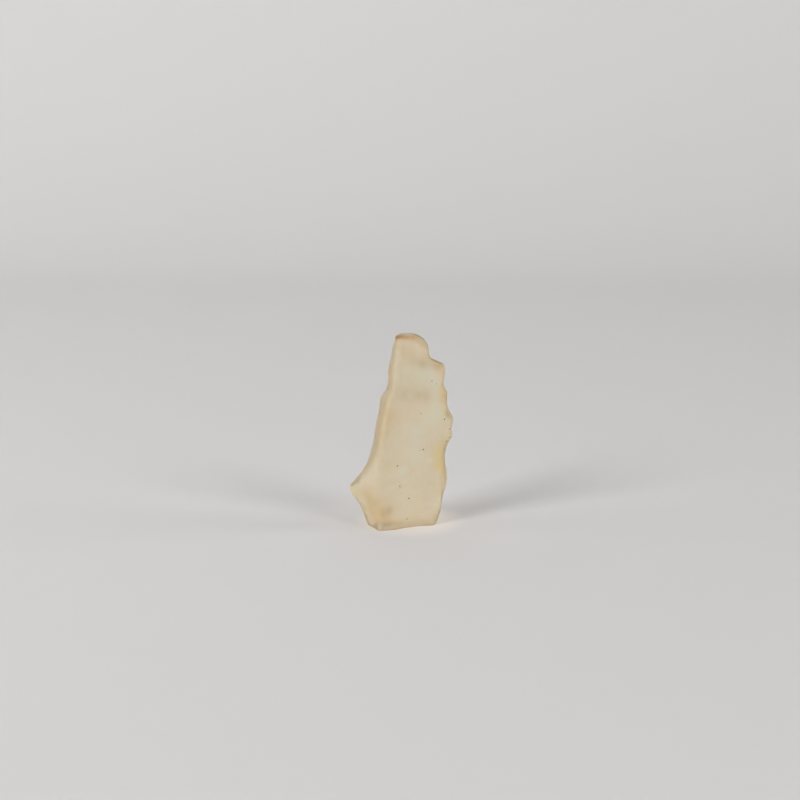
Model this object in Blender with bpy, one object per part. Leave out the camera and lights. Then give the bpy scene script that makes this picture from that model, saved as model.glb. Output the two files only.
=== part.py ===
"""A worn flake of natural desert glass, standing on its broken foot.

Run it with: blender --background --python part.py

Metres, +Z up. The broad face with the ridge looks along -Y, and the origin is on the ground near the
middle of the foot. The flake is one solid: a loft through level sections. Hollows where old flakes came
away are pressed into both faces, and the tip is broken off at a slant.
"""

import math

import bmesh
import bpy
from mathutils import Vector

MM = 0.001

# Driving dimensions, in millimetres.
HEIGHT = 34.7
SECTION_STEP = 0.41  # height between two sections of the loft
FRONT_POINTS = 30  # points across the front of a section, from the left edge to the right edge
BACK_POINTS = 22
EDGE_CROWDING = 0.4  # how far those points crowd towards the two edges: 0 is evenly
FRONT_BEVEL = 1.3  # width of the worn margin, where each face turns over to the edge
BACK_BEVEL = 2.0

# Each line below runs from the foot up, as (height, place) in millimetres.
# The outline seen from the front: x of the left edge, which flares to a spur near the foot.
LEFT_EDGE = (
    (0.0, -7.0),
    (0.7, -7.55),
    (2.4, -8.1),
    (3.7, -8.95),
    (5.4, -10.35),
    (6.3, -10.65),
    (7.4, -10.3),
    (9.6, -8.3),
    (10.6, -7.7),
    (13.2, -6.75),
    (15.7, -6.15),
    (19.0, -5.6),
    (21.0, -5.2),
    (23.1, -5.0),
    (24.3, -4.2),
    (25.5, -3.8),
    (28.2, -3.65),
    (31.0, -3.15),
    (33.4, -2.45),
    (HEIGHT, -2.15),
)
# x of the right edge: two teeth at mid height, a shoulder, and a slope up to the tip.
RIGHT_EDGE = (
    (0.0, 5.1),
    (1.0, 5.45),
    (2.3, 5.85),
    (5.2, 6.3),
    (7.8, 6.95),
    (9.4, 6.95),
    (11.9, 6.75),
    (13.7, 6.95),
    (14.9, 7.3),
    (15.9, 8.0),
    (17.3, 7.65),
    (19.1, 8.05),
    (21.6, 6.95),
    (24.2, 6.9),
    (25.6, 6.3),
    (27.9, 6.6),
    (28.9, 6.5),
    (29.5, 5.8),
    (30.3, 4.1),
    (31.9, 3.6),
    (32.9, 3.45),
    (34.0, 2.6),
    (HEIGHT, 1.3),
)
# The body inside its teeth and spur, which sets how the faces slope.
BODY_LEFT = ((0.0, -6.5), (8.0, -7.4), (16.0, -6.2), (26.0, -4.2), (HEIGHT, -2.4))
BODY_RIGHT = ((0.0, 5.6), (9.0, 6.9), (20.0, 7.3), (28.0, 6.4), (HEIGHT, 2.6))
# The ridge along the left of the front: its x, and how far it stands in front of the edges.
RIDGE_PLACE = (
    (0.0, -5.3),
    (4.0, -4.9),
    (8.0, -5.5),
    (13.0, -5.0),
    (18.0, -4.5),
    (22.0, -3.7),
    (26.0, -2.6),
    (30.0, -1.9),
    (HEIGHT, -1.1),
)
RIDGE_HEIGHT = ((0.0, 4.2), (7.0, 4.6), (14.0, 4.3), (22.0, 3.8), (30.0, 3.1), (HEIGHT, 2.4))
RIDGE_BLEND = 0.2  # how softly the faces meet on the ridge, as a share of the width
LEFT_FALL, RIGHT_FALL = 0.62, 0.66  # the share of the ridge's height that each front face loses
# How far behind y = 0 the two edges lie, and how far the back bulges behind them.
LEFT_DEPTH = ((0.0, 0.4), (7.0, 1.1), (HEIGHT, 0.6))
RIGHT_DEPTH = ((0.0, 1.7), (12.0, 1.9), (HEIGHT, 1.0))
BACK_BULGE = ((0.0, 2.3), (7.0, 2.6), (15.0, 2.3), (24.0, 1.8), (HEIGHT, 1.1))
BACK_CAMBER = 0.3  # the share of the bulge that the back loses from its middle to an edge
FRONT_LEAST, BACK_LEAST = 0.1, 0.25  # the share of its height that a face keeps, out on the spur
LEAST_BLEND = 0.12

# Where old flakes came away: x and height of the middle, half the width across, and the depth.
FRONT_SCARS = (
    (1.2, 31.9, 2.9, 0.42),
    (4.4, 26.9, 3.4, 0.50),
    (-0.4, 24.6, 3.1, 0.22),
    (5.2, 20.6, 3.3, 0.42),
    (1.0, 15.6, 4.6, 0.34),
    (6.4, 12.6, 2.6, 0.55),
    (3.4, 7.4, 3.9, 0.30),
    (1.6, 0.6, 3.6, 0.50),
    (-2.4, 4.6, 2.8, 0.26),
    (-2.6, 10.6, 2.9, 0.20),
    (-3.3, 30.4, 1.9, 0.28),
    (-3.8, 27.0, 1.8, 0.28),
    (-4.9, 22.0, 2.1, 0.32),
    (-5.4, 18.3, 1.9, 0.30),
    (-6.2, 14.4, 2.2, 0.32),
    (-7.4, 10.8, 2.0, 0.26),
    (-7.2, 3.8, 2.4, 0.32),
    (-6.6, 1.0, 1.9, 0.28),
)
BACK_SCARS = (
    (1.4, 30.2, 3.9, 0.42),
    (4.6, 24.6, 4.0, 0.52),
    (-2.2, 23.6, 3.7, 0.40),
    (2.4, 17.4, 4.7, 0.50),
    (-4.0, 15.6, 4.0, 0.44),
    (6.4, 11.8, 3.2, 0.50),
    (-0.6, 9.4, 4.8, 0.52),
    (-6.2, 7.0, 3.3, 0.42),
    (4.4, 4.6, 3.9, 0.48),
    (-3.8, 1.8, 3.9, 0.46),
)
SCAR_BLEND = 0.08  # how softly a scar's rim is worn
NORMAL_STEP = 0.6  # how far apart the face is read to find which way it looks

TIP_SLANT = math.radians(15)  # the broken tip falls towards the front
TIP_BACK = 1.6  # how far behind y = 0 the break still reaches the full height


def along(points, height):
    """The place at a height on the smooth line through the points."""
    last = len(points) - 1
    i = 0
    while i < last - 1 and height > points[i + 1][0]:
        i += 1
    before, start, end, after = (Vector(points[max(0, min(last, i + k))]) for k in (-1, 0, 1, 2))
    span = end.x - start.x
    start_slope = (end.y - before.y) / (end.x - before.x)
    end_slope = (after.y - start.y) / (after.x - start.x)
    t = (height - start.x) / span
    return (
        (2 * t**3 - 3 * t**2 + 1) * start.y
        + (t**3 - 2 * t**2 + t) * span * start_slope
        + (3 * t**2 - 2 * t**3) * end.y
        + (t**3 - t**2) * span * end_slope
    )


def soft_max(first, second, blend):
    """The larger of two values, rounded where they are nearly equal."""
    return (first + second + math.hypot(first - second, blend)) / 2


def margin(x, height, bevel):
    """How far a face has risen from the edge line: 0 at the outline, and 1 inside the bevel."""
    inside = min(x - along(LEFT_EDGE, height), along(RIGHT_EDGE, height) - x)
    return math.sqrt(1 - (1 - max(0.0, min(1.0, inside / bevel))) ** 2)


def edge_line(x, height):
    """The depth of the middle plane, between the left edge and the right edge."""
    left, right = along(BODY_LEFT, height), along(BODY_RIGHT, height)
    share = (x - left) / (right - left)
    return (1 - share) * along(LEFT_DEPTH, height) + share * along(RIGHT_DEPTH, height)


def front(x, height):
    """The depth of the front face before its scars: two slopes that meet in a soft ridge."""
    left, right = along(BODY_LEFT, height), along(BODY_RIGHT, height)
    ridge = along(RIDGE_PLACE, height)
    leftward = LEFT_FALL * (ridge - x) / (ridge - left)
    rightward = RIGHT_FALL * (x - ridge) / (right - ridge)
    fall = soft_max(leftward, rightward, RIDGE_BLEND)
    rise = soft_max(FRONT_LEAST, 1 - fall, LEAST_BLEND) * margin(x, height, FRONT_BEVEL)
    return edge_line(x, height) - along(RIDGE_HEIGHT, height) * rise


def back(x, height):
    """The depth of the back face before its scars: one low camber."""
    left, right = along(BODY_LEFT, height), along(BODY_RIGHT, height)
    off_middle = (2 * x - left - right) / (right - left)
    rise = soft_max(BACK_LEAST, 1 - BACK_CAMBER * off_middle**2, LEAST_BLEND)
    rise *= margin(x, height, BACK_BEVEL)
    return edge_line(x, height) + along(BACK_BULGE, height) * rise


def scar_ball(face, outward, scar):
    """The middle and radius of the ball that presses a scar into a face. Outward is -1 for the front."""
    x, height, half_width, depth = scar
    slope_x = (face(x + NORMAL_STEP, height) - face(x - NORMAL_STEP, height)) / (2 * NORMAL_STEP)
    slope_z = (face(x, height + NORMAL_STEP) - face(x, height - NORMAL_STEP)) / (2 * NORMAL_STEP)
    normal = Vector((-slope_x, 1, -slope_z)).normalized() * outward
    radius = (half_width**2 + depth**2) / (2 * depth)
    return Vector((x, face(x, height), height)) + normal * (radius - depth), radius


def pressed(point, balls):
    """The point, moved level until it is out of every ball."""
    for middle, radius in balls:
        level = radius**2 - (point.z - middle.z) ** 2
        if level > 0:
            axis = Vector((middle.x, middle.y, point.z))
            reach, distance = math.sqrt(level), (point - axis).length
            point = axis + (point - axis) * (soft_max(distance, reach, SCAR_BLEND) / distance)
    return point


def section(height, balls):
    """The points round the flake at a height: over the front from the left edge, and back behind."""
    left, right = along(LEFT_EDGE, height), along(RIGHT_EDGE, height)
    points = []
    for face, count, start, end in ((front, FRONT_POINTS, left, right), (back, BACK_POINTS, right, left)):
        for i in range(count):
            even, crowded = i / count, (1 - math.cos(math.pi * i / count)) / 2
            x = start + (end - start) * (even + EDGE_CROWDING * (crowded - even))
            points.append(pressed(Vector((x, face(x, height), height)), balls))
    return points


def flake_body():
    """The loft through the sections, broken off at the tip and closed by flat faces."""
    balls = [scar_ball(front, -1, scar) for scar in FRONT_SCARS]
    balls += [scar_ball(back, 1, scar) for scar in BACK_SCARS]
    count = round(HEIGHT / SECTION_STEP)
    mesh = bmesh.new()
    rings = []
    for i in range(count + 1):
        rings.append([mesh.verts.new(point * MM) for point in section(HEIGHT * i / count, balls)])
    for lower, upper in zip(rings, rings[1:]):
        for i in range(len(lower)):
            j = (i + 1) % len(lower)
            mesh.faces.new((lower[i], lower[j], upper[j], upper[i]))
    mesh.faces.new(rings[0])
    mesh.faces.new(rings[-1])
    break_tip(mesh)
    bmesh.ops.recalc_face_normals(mesh, faces=mesh.faces)
    data = bpy.data.meshes.new("desert_glass")
    mesh.to_mesh(data)
    mesh.free()
    return bpy.data.objects.new("desert_glass", data)


def break_tip(mesh):
    """Takes away what stands above the slanting break, and closes the break with a flat face."""
    everything = mesh.verts[:] + mesh.edges[:] + mesh.faces[:]
    place = Vector((0, TIP_BACK, HEIGHT)) * MM
    upward = Vector((0, -math.sin(TIP_SLANT), math.cos(TIP_SLANT)))
    cut = bmesh.ops.bisect_plane(mesh, geom=everything, plane_co=place, plane_no=upward, clear_outer=True)
    rim = [item for item in cut["geom_cut"] if isinstance(item, bmesh.types.BMEdge) and item.is_boundary]
    bmesh.ops.edgenet_fill(mesh, edges=rim)


def glass_material():
    """Pale yellow glass with a satin skin."""
    material = bpy.data.materials.new("pale_yellow_glass")
    material.use_nodes = True
    shader = material.node_tree.nodes["Principled BSDF"]
    shader.inputs["Base Color"].default_value = (0.66, 0.57, 0.36, 1)
    shader.inputs["Roughness"].default_value = 0.4
    shader.inputs["Metallic"].default_value = 0.0
    shader.inputs["IOR"].default_value = 1.46
    shader.inputs["Transmission Weight"].default_value = 0.8
    return material


def main():
    for obj in list(bpy.data.objects):
        bpy.data.objects.remove(obj)
    body = flake_body()
    body.data.materials.append(glass_material())
    parts = bpy.data.collections.new("libyan_desert_glass")
    bpy.context.scene.collection.children.link(parts)
    parts.objects.link(body)


main()
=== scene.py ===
import math
import random

import bmesh
import bpy
import numpy as np
from mathutils import Matrix, Vector, noise
from mathutils.bvhtree import BVHTree


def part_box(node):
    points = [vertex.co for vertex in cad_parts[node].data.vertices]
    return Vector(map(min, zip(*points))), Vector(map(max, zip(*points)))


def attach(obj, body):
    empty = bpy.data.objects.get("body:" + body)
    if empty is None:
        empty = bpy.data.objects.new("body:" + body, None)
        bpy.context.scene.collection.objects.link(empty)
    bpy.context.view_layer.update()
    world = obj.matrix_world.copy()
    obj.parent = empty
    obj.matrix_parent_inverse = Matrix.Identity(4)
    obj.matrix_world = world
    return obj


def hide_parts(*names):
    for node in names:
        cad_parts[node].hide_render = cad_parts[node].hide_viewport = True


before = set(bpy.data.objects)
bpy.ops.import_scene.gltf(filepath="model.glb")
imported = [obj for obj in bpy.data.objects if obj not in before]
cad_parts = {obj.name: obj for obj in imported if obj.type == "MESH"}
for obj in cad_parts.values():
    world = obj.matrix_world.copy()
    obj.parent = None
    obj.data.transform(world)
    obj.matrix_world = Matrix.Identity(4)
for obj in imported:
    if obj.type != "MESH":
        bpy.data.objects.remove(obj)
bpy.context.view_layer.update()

MM = 0.001

# The flake's skin. Sizes from here to the finishes are in millimetres.
MERGE_DISTANCE = 0.001  # corners of the solid nearer than this are one
SKIN_CELL = 0.124  # size of the cells that the skin is rebuilt from
SKIN_RELAX = 0.5
SKIN_RELAX_ROUNDS = 4
WEAR_ROUNDS = 330  # how long sand wore the faces smooth
WEAR_SHARE = 0.9  # how far a round moves a point towards the middle of its neighbours
WEAR_MARGIN = 0.7  # how far in from the outline the wear starts
OUTLINE_STEP = 0.3  # how closely the outline is followed
NOWHERE = -99.0  # lies short of every point of the flake
RIM_BLEND = 0.06  # how softly wear rounds the rim of a hollow
HOLLOW_REACH = 1.5  # how far out a hollow can cut, in half widths
HOLLOW_FADE = 0.5  # how wide a band inside that reach it fades over
# Slow swells of the worn faces, as (size, height).
SWELLS = ((4.2, 0.05), (1.5, 0.018), (0.55, 0.006))
CHIP_REACH = 1.0  # how far in from an edge its chips can sit
CHIP_BAND = 0.1  # how far above and below a chip its edge is looked for
# Chips along the two edges: side (-1 left, 1 right), height, lean towards the front in radians,
# half width and bite.
EDGE_CHIPS = (
    (1, 31.6, -0.7, 1.1, 0.11),
    (1, 28.6, -0.9, 1.2, 0.11),
    (1, 27.3, 0.8, 1.1, 0.09),
    (1, 25.7, -0.6, 1.0, 0.10),
    (1, 24.6, 0.8, 0.9, 0.07),
    (1, 23.1, -0.8, 1.3, 0.11),
    (1, 20.5, -1.0, 0.8, 0.06),
    (1, 18.5, 0.9, 0.8, 0.07),
    (1, 17.5, -0.7, 0.6, 0.07),
    (1, 15.4, 0.8, 0.8, 0.07),
    (1, 14.0, -0.9, 1.2, 0.11),
    (1, 11.2, 0.5, 1.0, 0.06),
    (1, 9.2, -0.7, 1.2, 0.11),
    (1, 7.4, 0.6, 1.0, 0.07),
    (1, 5.4, -0.9, 1.4, 0.12),
    (1, 3.6, 0.6, 1.0, 0.07),
    (1, 1.6, 0.9, 1.3, 0.12),
    (-1, 31.5, -0.9, 1.2, 0.16),
    (-1, 29.2, 0.3, 0.7, 0.10),
    (-1, 27.4, -0.8, 1.2, 0.16),
    (-1, 25.4, 0.3, 0.6, 0.09),
    (-1, 23.6, -0.7, 1.1, 0.14),
    (-1, 20.8, 0.3, 0.6, 0.08),
    (-1, 18.8, -0.9, 1.3, 0.16),
    (-1, 16.4, 0.3, 0.6, 0.08),
    (-1, 13.8, -0.8, 1.4, 0.16),
    (-1, 9.6, -0.9, 1.1, 0.14),
    (-1, 5.4, -1.0, 1.1, 0.14),
    (-1, 1.4, -0.8, 1.2, 0.16),
)
# Shallow scoops that blown sand left all over: how many, and from what to what they range.
SCOOP_COUNT = 150
SCOOP_HALF_WIDTH = (0.6, 2.0)
SCOOP_DEPTH = (0.01, 0.03)  # as a share of the half width
SCOOP_SEED = 11
# Ripples that spread from where a blow landed: x and height of the blow, reach, spacing and lift.
RIPPLES = (
    ((7.6, 20.4), 5.6, 0.85, 0.012),
    ((6.8, 27.6), 5.0, 0.75, 0.010),
    ((6.6, 8.6), 6.4, 0.95, 0.012),
    ((-3.4, 30.4), 4.2, 0.70, 0.008),
    ((1.4, 0.0), 4.6, 0.80, 0.012),
    ((-9.4, 7.0), 4.8, 0.80, 0.010),
)
RIPPLE_START = 1.5  # how far from the blow they reach their full lift
RIPPLE_CROWDING = 0.06  # how much closer they get with each millimetre out
# Open pits on the front with dark dirt in them: x, height and radius.
DIRTY_PITS = (
    (6.43, 19.37, 0.11),
    (7.35, 17.50, 0.09),
    (6.84, 15.26, 0.11),
    (2.69, 14.19, 0.11),
    (-1.86, 11.56, 0.10),
    (0.15, 5.46, 0.11),
)
# The same on the back.
BACK_PITS = (
    (3.90, 23.40, 0.10),
    (-2.10, 19.20, 0.09),
    (0.80, 14.60, 0.11),
    (4.60, 9.80, 0.09),
    (-4.30, 6.10, 0.10),
)
# Fainter ones on the front, washed nearly clean.
FAINT_PITS = (
    (4.17, 26.46, 0.12),
    (2.25, 20.83, 0.11),
    (-1.47, 7.84, 0.13),
    (-0.22, 1.69, 0.13),
    (4.95, 25.90, 0.08),
    (2.10, 14.00, 0.08),
)
PIT_DEPTH = 0.7  # as a share of the radius
FAR_OUT = 50  # well outside the flake, where the search for a place on a face starts
FOOT_FLAT = 0.06  # what is lower than this lies flat on the floor

# Stains, and spots of painted light and shade, as (x, depth, height, radius, strength). Tan ones
# follow the thin edges: partly tan staining, partly painted shade where the thin edges and the
# facet along the left edge look darker.
TAN_STAINS_AND_SHADE = (
    (-1.7, -1.0, 32.6, 1.1, 0.2),
    (-2.3, -0.6, 30.6, 1.1, 0.3),
    (-2.6, -0.4, 28.6, 1.1, 0.5),
    (-2.8, -1.0, 26.4, 1.3, 0.4),
    (-3.2, -1.6, 24.4, 1.3, 0.4),
    (-3.6, -1.5, 22.6, 1.3, 0.5),
    (-3.8, -1.6, 20.8, 1.3, 0.7),
    (-4.0, -1.6, 19.0, 1.3, 0.7),
    (-4.4, -1.5, 17.2, 1.3, 0.7),
    (-4.8, -1.3, 15.2, 1.3, 0.5),
    (-5.2, -0.9, 13.4, 1.2, 0.4),
    (-6.2, -0.7, 11.4, 1.2, 0.3),
    (-7.6, -0.3, 6.0, 1.4, 0.4),
    (-6.6, -1.3, 4.8, 2.0, 1.0),
    (-5.9, -1.9, 3.1, 2.0, 1.0),
    (-4.6, -3.0, 2.8, 1.6, 0.4),
    (-0.3, -1.3, 32.0, 1.6, 0.5),
    (1.6, -1.0, 31.6, 1.5, 0.4),
    (3.2, 0.2, 31.2, 0.9, 0.5),
    (5.3, 0.4, 29.0, 1.0, 0.8),
    (6.1, 0.5, 27.5, 0.8, 0.4),
    (5.8, 0.2, 24.6, 0.8, 0.2),
    (6.0, 0.3, 22.8, 0.8, 0.2),
    (5.9, 0.3, 8.4, 1.0, 0.3),
    (5.7, 0.2, 6.2, 1.0, 0.2),
)
# Rust along the broken tip and the step below it, and down the right edge.
RUST_STAINS = (
    (-2.0, 0.2, 34.2, 0.6, 0.8),
    (-1.1, 0.3, 34.3, 0.75, 1.0),
    (-0.1, 0.2, 34.3, 0.75, 1.0),
    (0.8, 0.0, 34.2, 0.7, 1.0),
    (1.6, 0.0, 33.8, 0.5, 0.7),
    (4.8, 0.4, 29.6, 0.7, 0.7),
    (5.6, 0.5, 29.2, 0.7, 0.7),
    (6.5, 0.4, 24.6, 0.6, 0.4),
    (6.6, 0.4, 23.6, 0.6, 0.8),
    (6.7, 0.4, 22.6, 0.55, 0.7),
    (6.2, 0.6, 9.6, 0.5, 0.3),
)
# Yellow ones lie along the right side.
YELLOW_STAINS = (
    (2.2, -0.3, 33.3, 1.0, 0.5),
    (6.3, 0.5, 24.4, 0.9, 0.6),
    (6.5, 0.5, 22.8, 0.8, 0.5),
    (6.9, 0.6, 20.8, 0.8, 0.7),
    (5.6, 0.4, 14.6, 0.8, 0.6),
    (5.4, 0.4, 13.2, 1.1, 1.0),
    (5.4, 0.6, 11.8, 1.2, 1.0),
    (5.8, 0.8, 10.4, 1.1, 1.0),
)
# Milky patches, where the glass is full of tiny bubbles; the paler patches right of the middle of
# the upper front face are painted light.
MILKY_AND_LIT_PATCHES = (
    (2.6, 3.0, 16.2, 2.2, 0.8),
    (-2.4, 3.4, 11.0, 1.8, 0.7),
    (3.8, -0.2, 27.0, 1.9, 1.0),
    (2.2, -0.9, 27.4, 1.6, 0.9),
    (5.0, 0.1, 21.0, 1.9, 1.0),
    (3.6, -0.5, 19.6, 1.6, 0.6),
    (1.4, -1.1, 17.4, 1.6, 0.7),
    (0.8, -1.3, 13.8, 2.0, 0.7),
    (2.6, -0.9, 12.4, 1.6, 0.5),
    (-1.0, -1.9, 10.6, 0.7, 1.0),
    (-0.4, -1.8, 28.5, 0.8, 0.5),
    (-9.6, 0.8, 6.9, 1.1, 0.9),
)
# White flecks, where small crystals show at the front.
WHITE_FLECKS = (
    (-0.90, -1.9, 10.95, 0.36, 1.0),
    (-1.15, -1.9, 10.40, 0.34, 1.0),
    (-1.55, -1.9, 10.25, 0.24, 0.8),
    (-0.55, -1.8, 10.60, 0.24, 0.8),
    (2.32, -0.8, 13.72, 0.26, 1.0),
    (3.75, -0.6, 12.10, 0.32, 0.9),
    (4.25, -0.5, 12.05, 0.32, 0.9),
    (1.57, -1.0, 17.26, 0.26, 0.8),
    (1.55, -0.4, 32.98, 0.28, 0.8),
    (-0.20, -1.8, 28.83, 0.30, 0.7),
    (-0.19, -1.5, 14.47, 0.24, 0.8),
    (0.87, -1.2, 12.95, 0.30, 0.7),
    (3.00, -0.5, 8.40, 0.24, 0.7),
    (3.00, -0.5, 7.80, 0.24, 0.7),
    (-1.75, -2.2, 7.92, 0.24, 0.8),
)
# Olive-brown wisps inside the glass; and painted shade in the same olive-brown: lines along the
# broken tip and the step below it, and faint bands across the upper front face.
BROWN_WISPS_AND_SHADE = (
    (1.8, 2.6, 25.2, 1.4, 0.6),
    (-1.6, 2.8, 20.6, 1.2, 0.4),
    (2.4, 3.2, 7.4, 1.5, 0.5),
    (-3.4, -2.7, 3.6, 0.8, 0.9),
    (-4.6, -3.1, 3.1, 0.7, 0.7),
    (1.0, -1.2, 30.0, 1.0, 0.5),
    (2.6, -0.7, 29.7, 1.0, 1.0),
    (3.8, 0.0, 30.0, 0.9, 0.8),
    (1.6, -1.1, 24.0, 1.1, 0.6),
    (3.0, -0.6, 23.8, 1.2, 0.5),
    (-0.6, -1.7, 24.5, 1.3, 0.4),
    (2.3, -0.1, 33.7, 1.0, 1.0),
    (3.0, 0.2, 33.2, 0.7, 1.0),
    (3.4, 0.6, 32.5, 0.5, 0.8),
    (4.8, 0.4, 29.8, 0.8, 0.8),
    (5.6, 0.5, 29.4, 0.8, 0.8),
    (6.3, 0.5, 25.6, 0.5, 0.6),
    (-9.2, 0.9, 7.9, 0.6, 0.2),
    (-1.4, -2.0, 7.8, 0.4, 0.4),
    (-6.2, -1.6, 4.0, 2.0, 0.25),
)
# Stains, and painted light and shade: the paler milky patches, the tan edges and the brown lines
# and bands.
STAINS_AND_PAINTED_LIGHT = {
    "milk_and_light": MILKY_AND_LIT_PATCHES,
    "tan": TAN_STAINS_AND_SHADE,
    "rust": RUST_STAINS,
    "yellow": YELLOW_STAINS,
    "brown": BROWN_WISPS_AND_SHADE,
    "fleck": WHITE_FLECKS,
}
MARGIN_WIDTH = 0.8  # how far the warm tint of the thin edges reaches in: partly iron staining, partly painted shade where the thin edges look deeper and darker
FOOT_SHADE_LINE = 0.22  # how high the painted contact shadow along the foot reaches, a brown line
RIM_SHADE_LINE = 0.16  # how far down the painted shade along the upper edges reaches, a dark line
# How strong those two lines of painted shade are, as (x, strength) from left to right.
FOOT_SHADE_STRENGTH = ((-1.0, 1.0), (1.1, 0.3))
RIM_SHADE_STRENGTH = (
    (-9.5, 0.4),
    (-6.0, 0.2),
    (-3.0, 0.1),
    (0.6, 0.4),
    (1.5, 1.0),
    (6.0, 1.0),
    (7.0, 0.0),
)

# What is caught in the pits: how deep a grain sits and how big it is, in the pit's radii.
DIRT_SUNK, DIRT_FILL = 0.1, 1.05
SILT_SUNK, SILT_FILL = 0.15, 0.9
# Grains strewn in the glass, in metres: grains a square metre, deepest place, and range of radii.
WHITE_GRAINS = {
    "Crowding": 0.16e6,
    "Deepest": 1.6 * MM,
    "Least": 0.03 * MM,
    "Greatest": 0.10 * MM,
    "Lumps": 0.03 * MM,
    "Seed": 5,
}
DARK_GRAINS = {
    "Crowding": 0.03e6,
    "Deepest": 1.2 * MM,
    "Least": 0.03 * MM,
    "Greatest": 0.08 * MM,
    "Lumps": 0.03 * MM,
    "Seed": 8,
}
SHALLOWEST = 0.15  # how far under the skin the first strewn grains lie
LUMP_SIZE = 0.16  # how far apart the lumps on a grain are
PIT_GRAIN_LUMPS = 0.05
PIT_GRAIN_FINENESS, STREWN_GRAIN_FINENESS = 2, 1


# ---------------------------------------------------------------- node trees


class Value:
    """A number that nodes work out. Sums and products of values add the Math nodes for them."""

    def __init__(self, tree, socket):
        self.tree = tree
        self.socket = socket

    def maths(self, operation, *numbers):
        node = self.tree.add("ShaderNodeMath", {"operation": operation})
        for number, socket in zip(numbers, node.inputs):
            self.tree.join(number, socket)
        return Value(self.tree, node.outputs[0])

    def __add__(self, other):
        return self.maths("ADD", self, other)

    def __radd__(self, other):
        return self.maths("ADD", other, self)

    def __sub__(self, other):
        return self.maths("SUBTRACT", self, other)

    def __rsub__(self, other):
        return self.maths("SUBTRACT", other, self)

    def __mul__(self, other):
        return self.maths("MULTIPLY", self, other)

    def __rmul__(self, other):
        return self.maths("MULTIPLY", other, self)

    def __truediv__(self, other):
        return self.maths("DIVIDE", self, other)

    def held(self, low=0.0, high=1.0):
        """The value, kept between two limits."""
        return self.maths("MAXIMUM", self.maths("MINIMUM", self, high), low)

    def step(self, low, high):
        """0 below low, 1 above high, and a smooth rise between them."""
        return self.tree.value(
            "ShaderNodeMapRange",
            {"interpolation_type": "SMOOTHSTEP"},
            Value=self,
            From_Min=low,
            From_Max=high,
        )


class Tree:
    """Adds nodes to one node tree."""

    def __init__(self, nodes):
        self.nodes = nodes

    def join(self, value, socket):
        """Sets a socket to a plain value, or links it to another node's."""
        if isinstance(value, Value):
            value = value.socket
        if isinstance(value, bpy.types.NodeSocket):
            self.nodes.links.new(value, socket)
        else:
            socket.default_value = value

    def add(self, kind, settings=None, **sockets):
        """A node of this kind. Settings come first, then sockets by identifier or by name."""
        node = self.nodes.nodes.new(kind)
        for name, value in (settings or {}).items():
            setattr(node, name, value)
        for name, value in sockets.items():
            self.join(value, find_socket(node.inputs, name))
        return node

    def value(self, kind, settings=None, output=0, **sockets):
        """The same, for a node whose result is a number."""
        return Value(self, self.add(kind, settings, **sockets).outputs[output])

    def mixed(self, share, first, second):
        """A colour between two colours."""
        node = self.add(
            "ShaderNodeMix",
            {"data_type": "RGBA"},
            Factor_Float=share,
            A_Color=first,
            B_Color=second,
        )
        return find_socket(node.outputs, "Result_Color")


def find_socket(sockets, name):
    """The socket with this identifier, or else the first one in use with this name."""
    plain = name.replace("_", " ")
    for socket in sockets:
        if socket.identifier == name:
            return socket
    for socket in sockets:
        if socket.name == plain and socket.enabled:
            return socket
    raise KeyError(f"no socket {name}")


def new_material(name):
    """An empty material with its tree."""
    material = bpy.data.materials.new(name)
    material.use_nodes = True
    material.node_tree.nodes.clear()
    return material, Tree(material.node_tree)


def finish_material(tree, surface, volume=None):
    """Joins the shaders to the material's output."""
    output = tree.add("ShaderNodeOutputMaterial", None, Surface=surface.outputs[0])
    if volume:
        tree.join(volume.outputs[0], output.inputs["Volume"])


def place_in_mm(tree):
    """The place on the object, in millimetres."""
    place = tree.add("ShaderNodeTexCoord").outputs["Object"]
    scaled = tree.add("ShaderNodeVectorMath", {"operation": "SCALE"}, Vector=place, Scale=1 / MM)
    return scaled.outputs[0]


def cloud(tree, place, size, detail=2.0, roughness=0.5, distortion=0.0):
    """Soft noise from 0 to 1 whose lumps are about this many millimetres across."""
    return tree.value(
        "ShaderNodeTexNoise",
        None,
        Vector=place,
        Scale=1 / size,
        Detail=detail,
        Roughness=roughness,
        Distortion=distortion,
    )


def painted(tree, name):
    """How strong one of the skin's attributes is at each place."""
    return tree.value("ShaderNodeAttribute", {"attribute_name": name}, 2)


# ---------------------------------------------------------------- finishes

GLASS_CREAM = (0.985, 0.905, 0.755, 1)
GLASS_HONEY = (0.97, 0.825, 0.62, 1)
# Milky white, also used as painted light on the upper front face.
GLASS_MILK_AND_LIGHT = (1.0, 0.955, 0.80, 1)
GLASS_TAN = (0.83, 0.63, 0.34, 1)
GLASS_AMBER = (1.0, 0.78, 0.42, 1)
# Rust, which is also the colour of the painted contact shadow along the foot.
GLASS_RUST_AND_FOOT_SHADE = (0.76, 0.46, 0.18, 1)
GLASS_YELLOW = (1.0, 0.77, 0.36, 1)
GLASS_BROWN = (0.64, 0.52, 0.28, 1)
GLASS_WHITE = (1.0, 0.965, 0.81, 1)
# The colour of the painted shade along the upper edges.
GLASS_RIM_SHADE = (0.30, 0.24, 0.10, 1)
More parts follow.
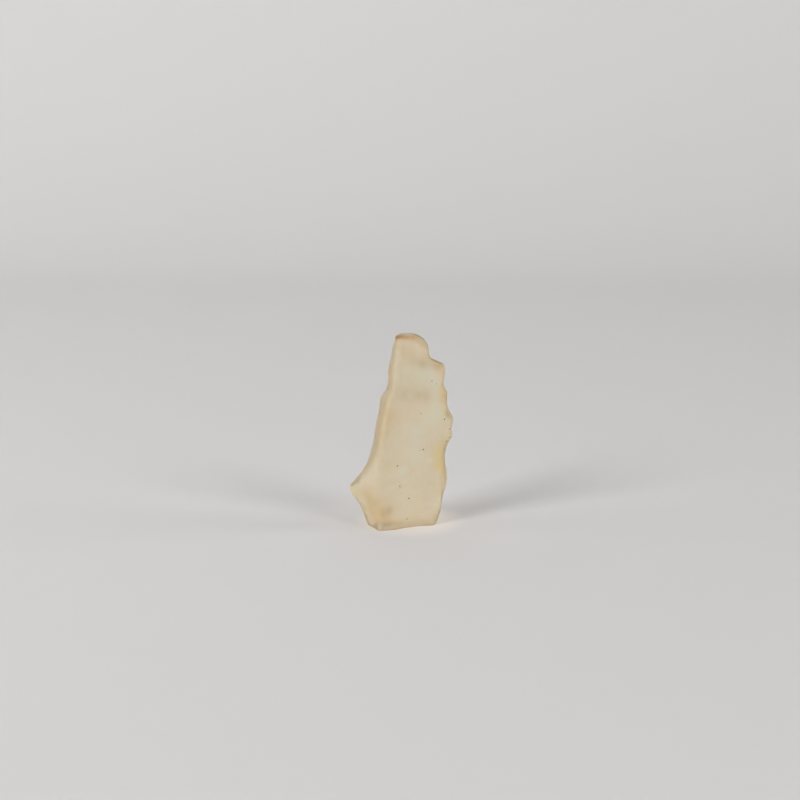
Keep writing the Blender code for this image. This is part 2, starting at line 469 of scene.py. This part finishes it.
# What tints the glass, painted light and shade among it: the attribute that says where, how
# strongly, and the colour. Later ones lie over earlier ones.
GLASS_TINTS = (
    # milky glass, and painted light on the upper front face
    ("milk_and_light", 0.9, GLASS_MILK_AND_LIGHT),
    # partly iron staining, partly painted shade on the thin edges
    ("margin", 0.3, GLASS_AMBER),
    # partly tan staining, partly painted shade on the edges and the left facet
    ("tan", 0.9, GLASS_TAN),
    ("rust", 1.0, GLASS_RUST_AND_FOOT_SHADE),
    ("yellow", 1.0, GLASS_YELLOW),
    # brown wisps, and painted shade along the tip, the step and in bands on the upper front face
    ("brown", 0.8, GLASS_BROWN),
    ("fleck", 1.2, GLASS_WHITE),
    # painted shade along the upper edges
    ("rim", 0.8, GLASS_RIM_SHADE),
    # painted contact shadow along the foot, in rust colour
    ("foot", 0.8, GLASS_RUST_AND_FOOT_SHADE),
)
ABSORPTION_COLOUR = (0.95, 0.78, 0.30, 1)
ABSORPTION_DENSITY = 34.0  # for a metre of glass
GLASS_IOR = 1.46
GLASS_CLEARNESS = 0.8
SCATTER_REACH = 1.2 * MM  # how far light spreads in the cloudy part of the glass
SCATTER_SHARES = (1.0, 0.95, 0.85)  # how much of that reach red, green and blue light have
# How large the lumps of each pattern in the glass are, in millimetres.
BROAD_SIZE, STREAK_SIZE, PATCH_SIZE, GRAIN_SIZE, FROST_SIZE = 6.0, 2.2, 0.9, 0.30, 0.09
HONEY_RISE = (0.36, 0.64)  # from where to where in the patterns cream turns to honey
ROUGHNESS_LEAST = 0.22
ROUGHNESS_LIMITS = (0.1, 0.7)
FROST_STRENGTH = 0.22
FROST_HEIGHT = 0.02 * MM
MOTTLE_RISE = (0.35, 0.65)


def glass_finish():
    """Worn desert glass: honey-coloured inside, frosted by sand, with rust on its thin edges,
    painted shade along its edges and foot, and painted light and shade on its upper front face.
    """
    material, tree = new_material("desert_glass")
    place = place_in_mm(tree)
    broad = cloud(tree, place, BROAD_SIZE, 2.0, 0.45)
    streaks = cloud(tree, place, STREAK_SIZE, 3.0, 0.55, 0.6)
    patches = cloud(tree, place, PATCH_SIZE, 3.0, 0.6)
    grain = cloud(tree, place, GRAIN_SIZE, 3.0, 0.6)
    frost = cloud(tree, place, FROST_SIZE, 2.0, 0.6)
    honey = (broad * 0.3 + streaks * 0.4 + patches * 0.3).step(*HONEY_RISE)
    colour = tree.mixed(honey, GLASS_CREAM, GLASS_HONEY)
    for name, share, tint in GLASS_TINTS:
        amount = painted(tree, name) * (0.5 + streaks) * share
        colour = tree.mixed(amount.held(), colour, tint)
    wear = grain * 0.12 + streaks * 0.08 + painted(tree, "margin") * 0.3
    roughness = (ROUGHNESS_LEAST + wear).held(*ROUGHNESS_LIMITS)
    bump = tree.add(
        "ShaderNodeBump",
        None,
        Strength=FROST_STRENGTH,
        Distance=FROST_HEIGHT,
        Height=(grain + frost) * 0.5,
    )
    surface = tree.add(
        "ShaderNodeBsdfPrincipled",
        None,
        Base_Color=colour,
        Roughness=roughness,
        IOR=GLASS_IOR,
        Transmission_Weight=GLASS_CLEARNESS,
        Subsurface_Weight=1.0,
        Subsurface_Scale=SCATTER_REACH,
        Subsurface_Radius=SCATTER_SHARES,
        Normal=bump.outputs[0],
    )
    volume = tree.add(
        "ShaderNodeVolumeAbsorption",
        None,
        Color=ABSORPTION_COLOUR,
        Density=ABSORPTION_DENSITY,
    )
    finish_material(tree, surface, volume)
    return material


def grain_finish(name, dark, pale, size, roughness):
    """A dull mineral grain, mottled between two colours."""
    material, tree = new_material(name)
    mottle = cloud(tree, place_in_mm(tree), size, 2.0, 0.6)
    surface = tree.add(
        "ShaderNodeBsdfPrincipled",
        None,
        Base_Color=tree.mixed(mottle.step(*MOTTLE_RISE), dark, pale),
        Roughness=roughness + mottle * 0.2,
    )
    finish_material(tree, surface)
    return material


# ---------------------------------------------------------------- the flake's skin


def plain_mesh(obj):
    """What an object's modifiers make of its mesh, as a new mesh."""
    seen = obj.evaluated_get(bpy.context.evaluated_depsgraph_get())
    return bpy.data.meshes.new_from_object(seen)


def link(name, mesh):
    """A new object in the scene that holds the mesh."""
    obj = bpy.data.objects.new(name, mesh)
    bpy.context.scene.collection.objects.link(obj)
    return obj


def fine_skin(node):
    """A close, even mesh over a solid, in millimetres."""
    work = bmesh.new()
    work.from_mesh(node.data)
    bmesh.ops.remove_doubles(work, verts=work.verts, dist=MERGE_DISTANCE * MM)
    bmesh.ops.scale(work, vec=Vector((1, 1, 1)) / MM, verts=work.verts)
    rough = bpy.data.meshes.new("rough_skin")
    work.to_mesh(rough)
    work.free()
    obj = link("rough_skin", rough)
    rebuild = obj.modifiers.new("rebuild", "REMESH")
    rebuild.mode = "VOXEL"
    rebuild.voxel_size = SKIN_CELL
    relax = obj.modifiers.new("relax", "SMOOTH")
    relax.factor = SKIN_RELAX
    relax.iterations = SKIN_RELAX_ROUNDS
    skin = plain_mesh(obj)
    bpy.data.objects.remove(obj)
    bpy.data.meshes.remove(rough)
    return skin


def read_points(mesh):
    """A mesh's points, one row each."""
    points = np.empty(len(mesh.vertices) * 3)
    mesh.vertices.foreach_get("co", points)
    return points.reshape(-1, 3)


def write_points(mesh, points):
    """Moves a mesh's points to these places."""
    mesh.vertices.foreach_set("co", points.ravel())
    mesh.update()


def read_normals(mesh):
    """Which way the skin looks at each point."""
    normals = np.empty(len(mesh.vertices) * 3)
    mesh.vertex_normals.foreach_get("vector", normals)
    return normals.reshape(-1, 3)


def hollow(points, place, outward, half_width, depth):
    """Presses a round hollow of this half width and depth into the points near a place."""
    radius = (half_width**2 + depth**2) / (2 * depth)
    reach = np.linalg.norm(points - place, axis=1) / half_width
    near = reach < HOLLOW_REACH
    away = points[near] - (place + outward * (radius - depth))
    distance = np.linalg.norm(away, axis=1)
    gap = distance - radius
    push = (np.hypot(gap, RIM_BLEND) - gap) / 2
    fade = np.clip((HOLLOW_REACH - reach[near]) / HOLLOW_FADE, 0, 1)
    points[near] += away * (push * fade / distance)[:, None]


def nearness(points, along, across, side, width):
    """1 at the flake's outline on one side, falling to 0 in from it.

    The outline runs along one axis, and its places are read on the one across. 0 is x, 2 is height.
    """
    place = (points[:, along] - points[:, along].min()) / OUTLINE_STEP
    rows = place.astype(int)
    reach = points[:, across] * side
    edge = np.full(rows.max() + 1, NOWHERE)
    np.maximum.at(edge, rows, reach)
    outline = np.interp(place, np.arange(len(edge)) + 0.5, edge)
    return np.exp(-((np.maximum(outline - reach, 0) / width) ** 2))


def wear_faces(mesh, points):
    """Smooths the faces, which sand wore more than it did the outline."""
    sides = [nearness(points, 2, 0, side, WEAR_MARGIN) for side in (-1, 1)]
    ends = [nearness(points, 0, 2, side, WEAR_MARGIN) for side in (-1, 1)]
    share = WEAR_SHARE * (1 - np.max(sides + ends, axis=0))[:, None]
    pairs = np.empty(len(mesh.edges) * 2, dtype=np.int32)
    mesh.edges.foreach_get("vertices", pairs)
    a, b = pairs.reshape(-1, 2).T
    count = len(points)
    neighbours = np.bincount(pairs, minlength=count)[:, None]
    for i in range(WEAR_ROUNDS):
        total = np.empty_like(points)
        for k in range(3):
            total[:, k] = np.bincount(a, points[b, k], count) + np.bincount(b, points[a, k], count)
        points += share * (total / neighbours - points)


def swell(points, normals):
    """Lifts and lowers the faces in slow, soft swells."""
    for size, height in SWELLS:
        lift = [noise.noise(Vector(point) / size) for point in points]
        points += normals * (np.array(lift) * height)[:, None]


def chip_edges(points):
    """Bites the small chips out of the two edges."""
    for side, height, lean, half_width, bite in EDGE_CHIPS:
        outward = np.array((side * math.cos(lean), -math.sin(lean), 0))
        level = points[np.abs(points[:, 2] - height) < CHIP_BAND]
        rim = level[level[:, 0] * side > (level[:, 0] * side).max() - CHIP_REACH]
        edge = rim[np.argmax(rim @ outward)]
        hollow(points, edge, outward, half_width, bite)


def scoop_faces(points, normals):
    """Presses the shallow sand-blown scoops in, at random places that stay the same each run."""
    chance = random.Random(SCOOP_SEED)
    for i in range(SCOOP_COUNT):
        at = chance.randrange(len(points))
        half_width = chance.uniform(*SCOOP_HALF_WIDTH)
        depth = half_width * chance.uniform(*SCOOP_DEPTH)
        reach = np.linalg.norm(points - points[at], axis=1) / half_width
        near = reach < 1
        points[near] -= normals[at] * (depth * (1 - reach[near] ** 2) ** 2)[:, None]


def ripple_scars(points, normals):
    """Raises faint rings round the places where blows landed."""
    for (x, height), reach, spacing, lift in RIPPLES:
        distance = np.hypot(points[:, 0] - x, points[:, 2] - height)
        fade = np.clip(1 - distance / reach, 0, 1) * np.clip(distance / RIPPLE_START, 0, 1)
        wave = np.sin(2 * math.pi * distance / spacing * (1 + RIPPLE_CROWDING * distance))
        points += normals * (wave * fade * lift)[:, None]


def face_places(mesh, spots, side=-1):
    """The place, normal and radius of each spot, on the front (side -1) or the back (side 1)."""
    tree = BVHTree.FromPolygons([v.co for v in mesh.vertices], [p.vertices for p in mesh.polygons])
    found = []
    for x, height, radius in spots:
        hit = tree.ray_cast(Vector((x, FAR_OUT * side, height)), Vector((0, -side, 0)))
        if hit[0] is None:
            hit = tree.find_nearest(Vector((x, 0, height)))
        found.append((hit[0], hit[1], radius))
    return found


def store(mesh, name, amounts):
    """Keeps a number for each of the mesh's points, under this name."""
    mesh.attributes.new(name, "FLOAT", "POINT").data.foreach_set("value", amounts)


def spot_cover(points, spots):
    """How strongly soft round spots cover each point; the spots are stains, and painted light and
    shade.
    """
    clean = np.ones(len(points))
    for x, depth, height, radius, strength in spots:
        distance = np.linalg.norm(points - np.array((x, depth, height)), axis=1)
        clean *= 1 - strength * np.exp(-((distance / radius) ** 2))
    return 1 - clean


def make_skin(node):
    """The flake's worn skin, in millimetres."""
    mesh = fine_skin(node)
    points = read_points(mesh)
    wear_faces(mesh, points)
    write_points(mesh, points)
    normals = read_normals(mesh)
    swell(points, normals)
    scoop_faces(points, normals)
    ripple_scars(points, normals)
    chip_edges(points)
    write_points(mesh, points)
    pits = face_places(mesh, DIRTY_PITS + FAINT_PITS) + face_places(mesh, BACK_PITS, 1)
    for place, normal, radius in pits:
        hollow(points, np.array(place), np.array(normal), radius, radius * PIT_DEPTH)
    low, high = (np.array(corner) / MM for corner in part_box("desert_glass"))
    points = np.clip(points, low, high)
    points[points[:, 2] < FOOT_FLAT, 2] = 0
    # Stains, and spots of painted light and shade.
    for name, spots in STAINS_AND_PAINTED_LIGHT.items():
        store(mesh, name, spot_cover(points, spots))
    # The margin is partly iron staining, partly painted shade on the thin edges.
    edges = [nearness(points, 2, 0, side, MARGIN_WIDTH) for side in (-1, 1)]
    store(mesh, "margin", np.max(edges, axis=0))
    # The rim line is painted shade along the upper edges.
    rim_shade_strength = np.interp(points[:, 0], *zip(*RIM_SHADE_STRENGTH))
    store(mesh, "rim", nearness(points, 0, 2, 1, RIM_SHADE_LINE) * rim_shade_strength)
    # The foot line is a painted contact shadow.
    foot_shade_strength = np.interp(points[:, 0], *zip(*FOOT_SHADE_STRENGTH))
    store(mesh, "foot", np.exp(-((points[:, 2] / FOOT_SHADE_LINE) ** 2)) * foot_shade_strength)
    write_points(mesh, points)
    return mesh


# ---------------------------------------------------------------- what is sealed in the glass


def grain_tree(name):
    """A geometry tree that sets a lumpy grain on each point of a mesh, or strews them in it.

    Inputs: Strewn (off: one grain a point, as big as its "size"), Crowding (grains a square metre),
    Deepest, Least and Greatest (radii), Fineness (of a grain's facets), Lumps, Seed and Finish.
    Lengths are in metres.
    """
    nodes = bpy.data.node_groups.new(name, "GeometryNodeTree")
    nodes.interface.new_socket("Geometry", in_out="INPUT", socket_type="NodeSocketGeometry")
    for label, kind in (
        ("Strewn", "NodeSocketBool"),
        ("Crowding", "NodeSocketFloat"),
        ("Deepest", "NodeSocketFloat"),
        ("Least", "NodeSocketFloat"),
        ("Greatest", "NodeSocketFloat"),
        ("Fineness", "NodeSocketInt"),
        ("Lumps", "NodeSocketFloat"),
        ("Seed", "NodeSocketInt"),
        ("Finish", "NodeSocketMaterial"),
    ):
        nodes.interface.new_socket(label, in_out="INPUT", socket_type=kind)
    nodes.interface.new_socket("Geometry", in_out="OUTPUT", socket_type="NodeSocketGeometry")
    tree = Tree(nodes)
    given = tree.add("NodeGroupInput").outputs
    strewn = tree.add(
        "GeometryNodeDistributePointsOnFaces",
        None,
        Mesh=given["Geometry"],
        Density=given["Crowding"],
        Seed=given["Seed"],
    )
    depth = tree.add(
        "FunctionNodeRandomValue",
        {"data_type": "FLOAT"},
        Min_001=SHALLOWEST * MM,
        Max_001=given["Deepest"],
    )
    inward = tree.add(
        "ShaderNodeVectorMath",
        {"operation": "SCALE"},
        Vector=strewn.outputs["Normal"],
        Scale=Value(tree, depth.outputs[1]) * -1,
    )
    sunk = tree.add(
        "GeometryNodeSetPosition",
        None,
        Geometry=strewn.outputs["Points"],
        Offset=inward.outputs[0],
    )
    places = tree.add(
        "GeometryNodeSwitch",
        {"input_type": "GEOMETRY"},
        Switch=given["Strewn"],
        **{"False": given["Geometry"], "True": sunk.outputs[0]},
    )
    grain = tree.add(
        "GeometryNodeMeshIcoSphere",
        None,
        Radius=1.0,
        Subdivisions=given["Fineness"],
    )
    chosen = tree.add(
        "FunctionNodeRandomValue",
        {"data_type": "FLOAT"},
        Min_001=given["Least"],
        Max_001=given["Greatest"],
        Seed=given["Seed"],
    )
    own = tree.add("GeometryNodeInputNamedAttribute", {"data_type": "FLOAT"}, Name="size")
    size = tree.add(
        "GeometryNodeSwitch",
        {"input_type": "FLOAT"},
        Switch=given["Strewn"],
        **{"False": own.outputs["Attribute"], "True": chosen.outputs[1]},
    )
    set_down = tree.add(
        "GeometryNodeInstanceOnPoints",
        None,
        Points=places.outputs[0],
        Instance=grain.outputs["Mesh"],
        Scale=size.outputs[0],
    )
    made = tree.add("GeometryNodeRealizeInstances", None, Geometry=set_down.outputs[0])
    place = tree.add("GeometryNodeInputPosition").outputs[0]
    scale = 1 / (LUMP_SIZE * MM)
    lump = tree.value("ShaderNodeTexNoise", None, Vector=place, Scale=scale, Detail=1.0)
    push = tree.add(
        "ShaderNodeVectorMath",
        {"operation": "SCALE"},
        Vector=tree.add("GeometryNodeInputNormal").outputs[0],
        Scale=(lump - 0.5) * given["Lumps"],
    )
    shaped = tree.add(
        "GeometryNodeSetPosition",
        None,
        Geometry=made.outputs[0],
        Offset=push.outputs[0],
    )
    finished = tree.add(
        "GeometryNodeSetMaterial",
        None,
        Geometry=shaped.outputs[0],
        Material=given["Finish"],
    )
    tree.add("NodeGroupOutput", None, Geometry=finished.outputs[0])
    return nodes


def spot_mesh(spots, sunk, fill):
    """Points for grains, in metres. Their depth and size are shares of each spot's radius."""
    mesh = bpy.data.meshes.new("spots")
    places = [(place - normal * radius * sunk) * MM for place, normal, radius in spots]
    mesh.from_pydata(places, [], [])
    store(mesh, "size", [radius * fill * MM for place, normal, radius in spots])
    return mesh


def grains(name, tree, base, **inputs):
    """A joined mesh of grains that the tree makes from a base mesh."""
    source = link("grain_source", base)
    maker = source.modifiers.new("grains", "NODES")
    maker.node_group = tree
    for item in tree.interface.items_tree:
        if item.in_out == "INPUT" and item.name in inputs:
            maker[item.identifier] = inputs[item.name]
    mesh = plain_mesh(source)
    bpy.data.objects.remove(source)
    return link(name, mesh)


# ---------------------------------------------------------------- stage, light and camera

# The pale floor and wall, in millimetres: where the floor starts and ends, and the bend's radius.
SWEEP_FRONT, SWEEP_BACK, SWEEP_BEND = -900, 215, 90
SWEEP_BEND_STEPS = 24
SWEEP_DROP = -0.03  # keeps the floor just clear of the flake's foot, so light still gets in there
SWEEP_HALF_WIDTH, SWEEP_TOP = 1300, 900
SWEEP_COLOUR = (0.79, 0.777, 0.774, 1)
SWEEP_ROUGHNESS = 0.85
# The faint pool of light that the glass throws on the floor round its foot.
GLOW_X, GLOW_Y = 0.5, 3.0
GLOW_REACH = 11.0
GLOW_COLOUR = (0.14, 0.115, 0.08, 1)
NO_GLOW = (0, 0, 0, 1)
# The room around is lit up to head height and dark above.
ROOM_LOW, ROOM_HIGH = 0.22, 0.015
ROOM_FADE = (0.3, 0.6)  # how steeply up the room gets dark, as the sine of the angle
# Each soft light that points at the foot: how far it is turned from the front to the right and
# raised, in degrees, its distance and size in millimetres, and its watts.
LIGHTS = {
    "key_light": (-48, 31, 850, 320, 3.45),
    "fill_light": (50, 30, 750, 270, 1.5),
    "left_window": (-90, 12, 3000, 1300, 20),
    "right_window": (90, 12, 3000, 1300, 37),
}
# One more stands over the flake and points at the wall behind it, a little to the left.
WALL_LIGHT_PLACE = (-200, 0, 340)
WALL_LIGHT_AIM = (-200, 340, 80)
WALL_LIGHT_SIZE, WALL_LIGHT_WATTS = 300, 0.16
CAMERA_AIM = (-1.42, 0.0, 22.99)
CAMERA_RAISED = math.radians(14)
CAMERA_DISTANCE = 450
CAMERA_LENS = 115.3
CAMERA_NEAR, CAMERA_FAR = 10, 10000


def sweep():
    """A pale floor that curves up into a wall behind."""
    profile = [(SWEEP_FRONT, SWEEP_DROP), (SWEEP_BACK, SWEEP_DROP)]
    for i in range(1, SWEEP_BEND_STEPS + 1):
        turn = math.pi / 2 * i / SWEEP_BEND_STEPS
        rise = SWEEP_BEND * (1 - math.cos(turn))
        profile.append((SWEEP_BACK + SWEEP_BEND * math.sin(turn), SWEEP_DROP + rise))
    profile.append((SWEEP_BACK + SWEEP_BEND, SWEEP_TOP))
    work = bmesh.new()
    rows = []
    for y, z in profile:
        ends = [Vector((x, y, z)) * MM for x in (-SWEEP_HALF_WIDTH, SWEEP_HALF_WIDTH)]
        rows.append([work.verts.new(end) for end in ends])
    for (a, b), (c, d) in zip(rows, rows[1:]):
        work.faces.new((a, b, d, c)).smooth = True
    mesh = bpy.data.meshes.new("sweep")
    work.to_mesh(mesh)
    work.free()
    material, tree = new_material("sweep_card")
    place = tree.add("ShaderNodeSeparateXYZ", None, Vector=place_in_mm(tree)).outputs
    across = (Value(tree, place[0]) - GLOW_X) / GLOW_REACH
    deep = (Value(tree, place[1]) - GLOW_Y) / GLOW_REACH
    glow = 1 - (across * across + deep * deep).step(0.0, 1.0)
    surface = tree.add(
        "ShaderNodeBsdfPrincipled",
        None,
        Base_Color=SWEEP_COLOUR,
        Roughness=SWEEP_ROUGHNESS,
        Emission_Color=tree.mixed(glow, NO_GLOW, GLOW_COLOUR),
        Emission_Strength=1.0,
    )
    finish_material(tree, surface)
    mesh.materials.append(material)
    link("sweep", mesh)


def soft_light(name, place, aim, size, power):
    """A square soft light that the camera doesn't see."""
    light = bpy.data.lights.new(name, "AREA")
    light.shape = "SQUARE"
    light.size = size * MM
    light.energy = power
    obj = bpy.data.objects.new(name, light)
    obj.location = Vector(place) * MM
    obj.rotation_euler = (Vector(place) - Vector(aim)).to_track_quat("Z", "Y").to_euler()
    obj.visible_camera = False
    bpy.context.scene.collection.objects.link(obj)


def seen_from_foot(turned, raised, distance):
    """The place that lies this way from the foot, with both angles in degrees."""
    turned, raised = math.radians(turned), math.radians(raised)
    level = distance * math.cos(raised)
    return level * math.sin(turned), -level * math.cos(turned), distance * math.sin(raised)


def studio():
    """The floor, the soft lights and the room's own light."""
    sweep()
    for name, (turned, raised, distance, size, power) in LIGHTS.items():
        soft_light(name, seen_from_foot(turned, raised, distance), (0, 0, 0), size, power)
    soft_light("wall_light", WALL_LIGHT_PLACE, WALL_LIGHT_AIM, WALL_LIGHT_SIZE, WALL_LIGHT_WATTS)
    world = bpy.data.worlds.new("studio")
    world.use_nodes = True
    background = world.node_tree.nodes["Background"]
    background.inputs["Color"].default_value = (1, 1, 1, 1)
    tree = Tree(world.node_tree)
    direction = tree.add("ShaderNodeTexCoord").outputs["Generated"]
    up = tree.value("ShaderNodeSeparateXYZ", None, 2, Vector=direction)
    brightness = ROOM_LOW + up.step(*ROOM_FADE) * (ROOM_HIGH - ROOM_LOW)
    tree.join(brightness, background.inputs["Strength"])
    bpy.context.scene.world = world
    bpy.context.scene.view_settings.view_transform = "Standard"


def camera():
    """The camera in front of the flake, raised a little and looking down."""
    data = bpy.data.cameras.new("camera")
    data.lens = CAMERA_LENS
    data.clip_start, data.clip_end = CAMERA_NEAR * MM, CAMERA_FAR * MM
    obj = bpy.data.objects.new("camera", data)
    back = Vector((0, -math.cos(CAMERA_RAISED), math.sin(CAMERA_RAISED)))
    obj.location = (Vector(CAMERA_AIM) + back * CAMERA_DISTANCE) * MM
    obj.rotation_euler = back.to_track_quat("Z", "Y").to_euler()
    bpy.context.scene.collection.objects.link(obj)
    bpy.context.scene.camera = obj


# ---------------------------------------------------------------- the whole thing


def flake():
    """The flake, and the grains sealed in it and caught on it."""
    skin = make_skin(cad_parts["desert_glass"])
    dirty = face_places(skin, DIRTY_PITS) + face_places(skin, BACK_PITS, 1)
    faint = face_places(skin, FAINT_PITS)
    skin.transform(Matrix.Scale(MM, 4))
    skin.materials.clear()
    skin.materials.append(glass_finish())
    skin.shade_smooth()
    glass = link("glass_flake", skin)
    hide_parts("desert_glass")

    tree = grain_tree("grains")
    dirt = grain_finish("pit_dirt", (0.035, 0.025, 0.015, 1), (0.12, 0.08, 0.045, 1), 0.08, 0.7)
    silt = grain_finish("pit_silt", (0.40, 0.33, 0.20, 1), (0.54, 0.46, 0.32, 1), 0.08, 0.7)
    white = grain_finish("white_grain", (0.80, 0.76, 0.66, 1), (0.92, 0.90, 0.84, 1), 0.10, 0.5)
    dark = grain_finish("dark_grain", (0.03, 0.025, 0.02, 1), (0.10, 0.08, 0.05, 1), 0.08, 0.6)
    caught = {"Fineness": PIT_GRAIN_FINENESS, "Lumps": PIT_GRAIN_LUMPS * MM}
    sealed = {"Strewn": True, "Fineness": STREWN_GRAIN_FINENESS}
    dirt_spots = spot_mesh(dirty, DIRT_SUNK, DIRT_FILL)
    silt_spots = spot_mesh(faint, SILT_SUNK, SILT_FILL)
    pieces = [
        grains("dirt_in_pits", tree, dirt_spots, Finish=dirt, **caught),
        grains("silt_in_pits", tree, silt_spots, Finish=silt, **caught),
        grains("white_grains", tree, skin.copy(), Finish=white, **sealed, **WHITE_GRAINS),
        grains("dark_grains", tree, skin.copy(), Finish=dark, **sealed, **DARK_GRAINS),
    ]
    for piece in [glass, *pieces]:
        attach(piece, "root")


camera()
studio()
flake()
